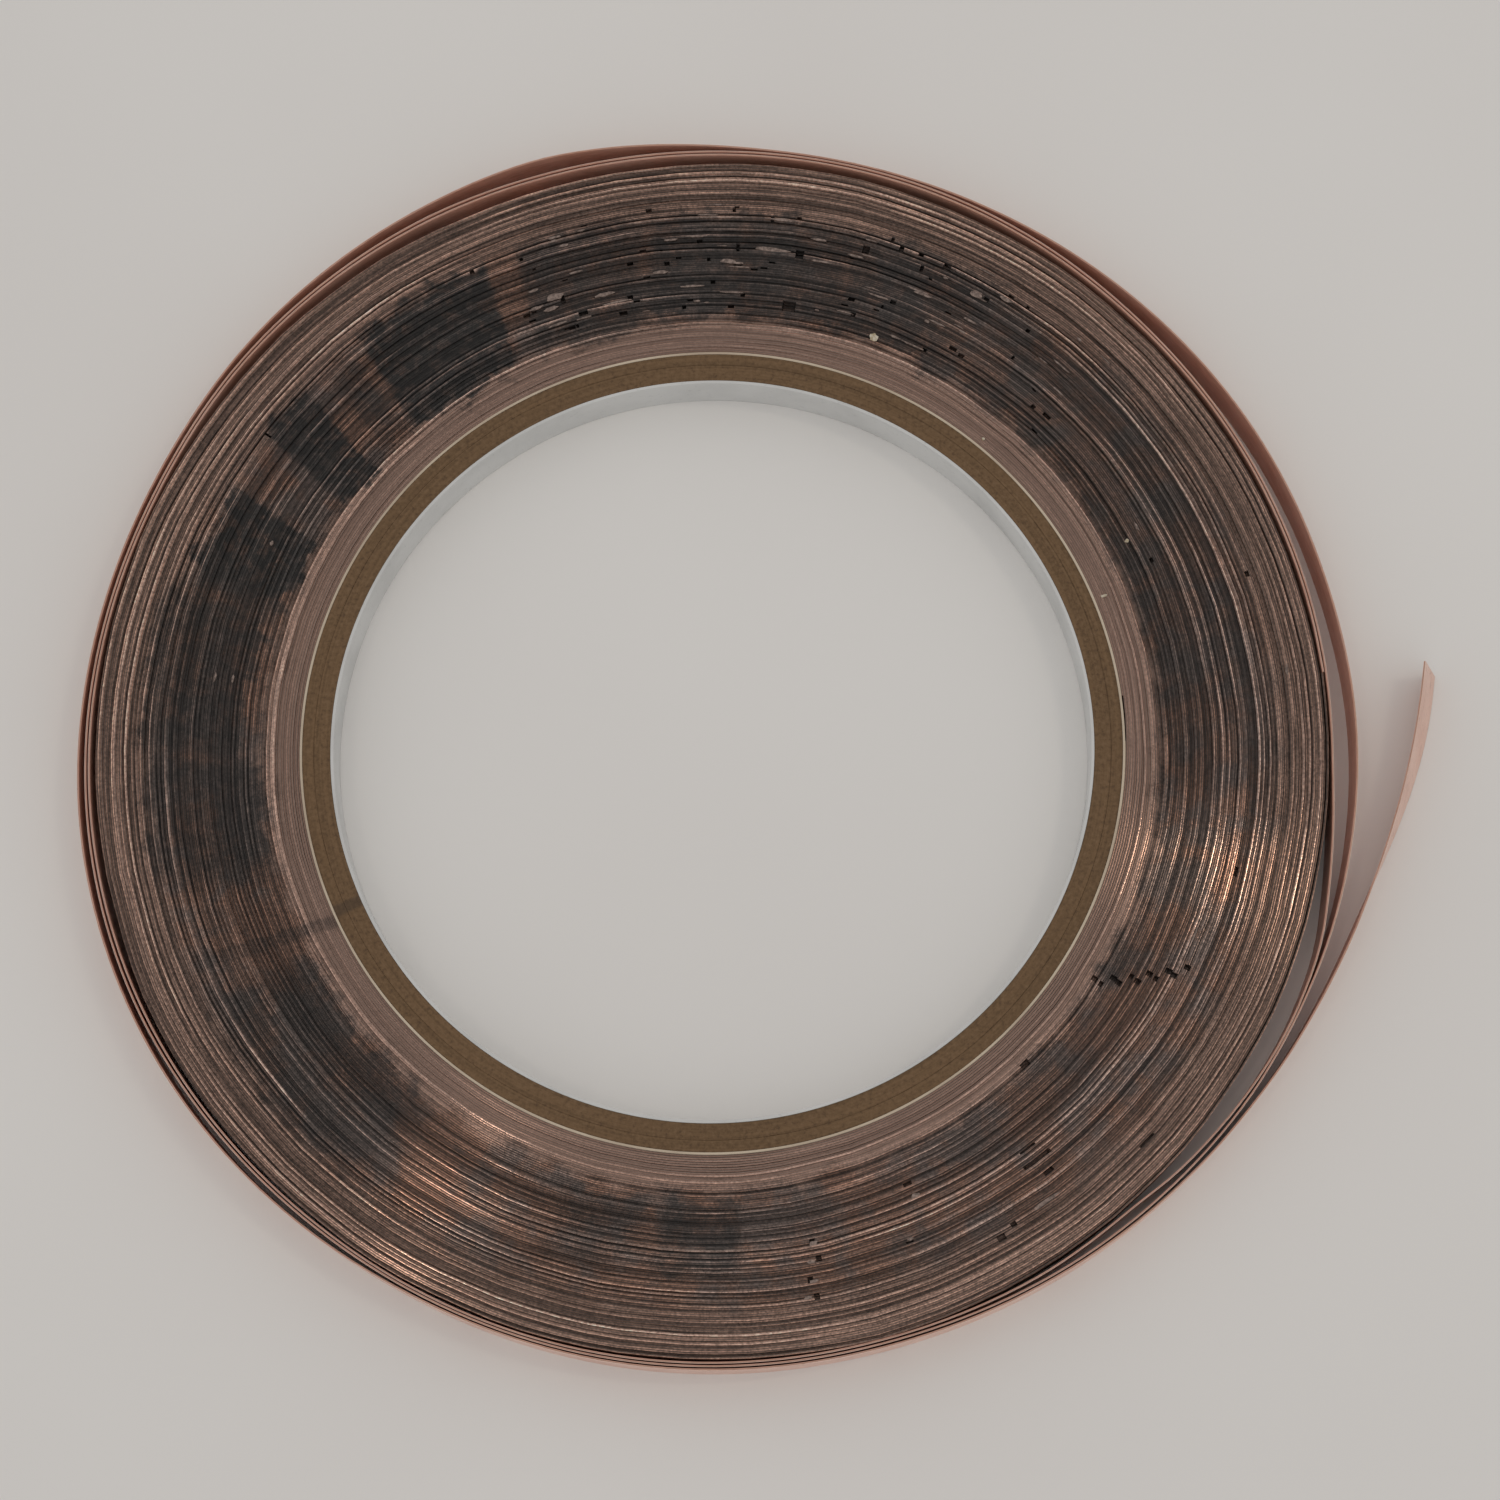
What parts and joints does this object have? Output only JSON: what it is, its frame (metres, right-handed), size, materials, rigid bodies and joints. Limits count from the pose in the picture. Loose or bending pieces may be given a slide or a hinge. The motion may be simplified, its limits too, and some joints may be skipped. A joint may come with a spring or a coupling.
{
  "type": "copper foil tape roll",
  "caption": "Narrow adhesive copper foil tape wound on a paper core, lying flat, with loose outer turns and a springy free end that bends and peels.",
  "frame": {"origin": "on the roll's axis, half way up the tape's width", "axes": "+Z along the roll's axis, up as it lies flat; +X towards the side where the free end stands off; +Y away from the viewer"},
  "size_m": [0.1376, 0.1268, 0.0056],
  "materials": {
    "copper_foil": "satin",
    "wound_edge": "satin",
    "adhesive": "gloss",
    "release_paper": "satin",
    "white_paper": "matte",
    "kraft_board": "matte",
    "cream_paper": "matte"
  },
  "bodies": {
    "roll": {"core_inner_liner": "white_paper", "core_kraft_inner": "kraft_board", "core_kraft_outer": "kraft_board", "core_cover_ply": "cream_paper", "start_anchor": "adhesive", "wound_pack": "wound_edge", "turn_1_foil": "copper_foil", "turn_1_adhesive": "adhesive", "turn_1_release_paper": "release_paper", "turn_2_foil": "copper_foil", "turn_2_adhesive": "adhesive", "turn_2_release_paper": "release_paper", "turn_3_foil": "copper_foil", "turn_3_adhesive": "adhesive", "turn_3_release_paper": "release_paper"},
    "tail_1": {"tail_1_foil": "copper_foil", "tail_1_adhesive": "adhesive", "tail_1_release_paper": "release_paper"},
    "tail_2": {"tail_2_foil": "copper_foil", "tail_2_adhesive": "adhesive", "tail_2_release_paper": "release_paper"},
    "tail_3": {"tail_3_foil": "copper_foil", "tail_3_adhesive": "adhesive", "tail_3_release_paper": "release_paper"},
    "tail_4": {"tail_4_foil": "copper_foil", "tail_4_adhesive": "adhesive", "tail_4_release_paper": "release_paper"},
    "peel_tab": {"peel_tab": "release_paper"}
  },
  "joints": [
    {"name": "tail_root_bend", "type": "hinge", "parent": "roll", "child": "tail_1", "pos_m": [0.04467, -0.04545, 0], "axis": [0, 0, -1], "range_deg": [-0.5, 16]},
    {"name": "tail_root_bend_2", "type": "hinge", "parent": "tail_1", "child": "tail_2", "pos_m": [0.05457, -0.03476, 0], "axis": [0, 0, -1], "range_deg": [-0.5, 16]},
    {"name": "tail_tip_bend", "type": "hinge", "parent": "tail_2", "child": "tail_3", "pos_m": [0.06242, -0.02209, 0], "axis": [0, 0, -1], "range_deg": [-2, 20]},
    {"name": "tail_tip_bend_2", "type": "hinge", "parent": "tail_3", "child": "tail_4", "pos_m": [0.06867, -0.00791, 0], "axis": [0, 0, -1], "range_deg": [-2, 20]},
    {"name": "paper_peel", "type": "hinge", "parent": "tail_4", "child": "peel_tab", "pos_m": [0.07101, -0.00078, 0], "axis": [0, 0, 1], "range_deg": [0, 28]}
  ],
  "couplings": [
    {"joint": "tail_root_bend_2", "follows": "tail_root_bend", "ratio": 1},
    {"joint": "tail_tip_bend_2", "follows": "tail_tip_bend", "ratio": 1}
  ]
}
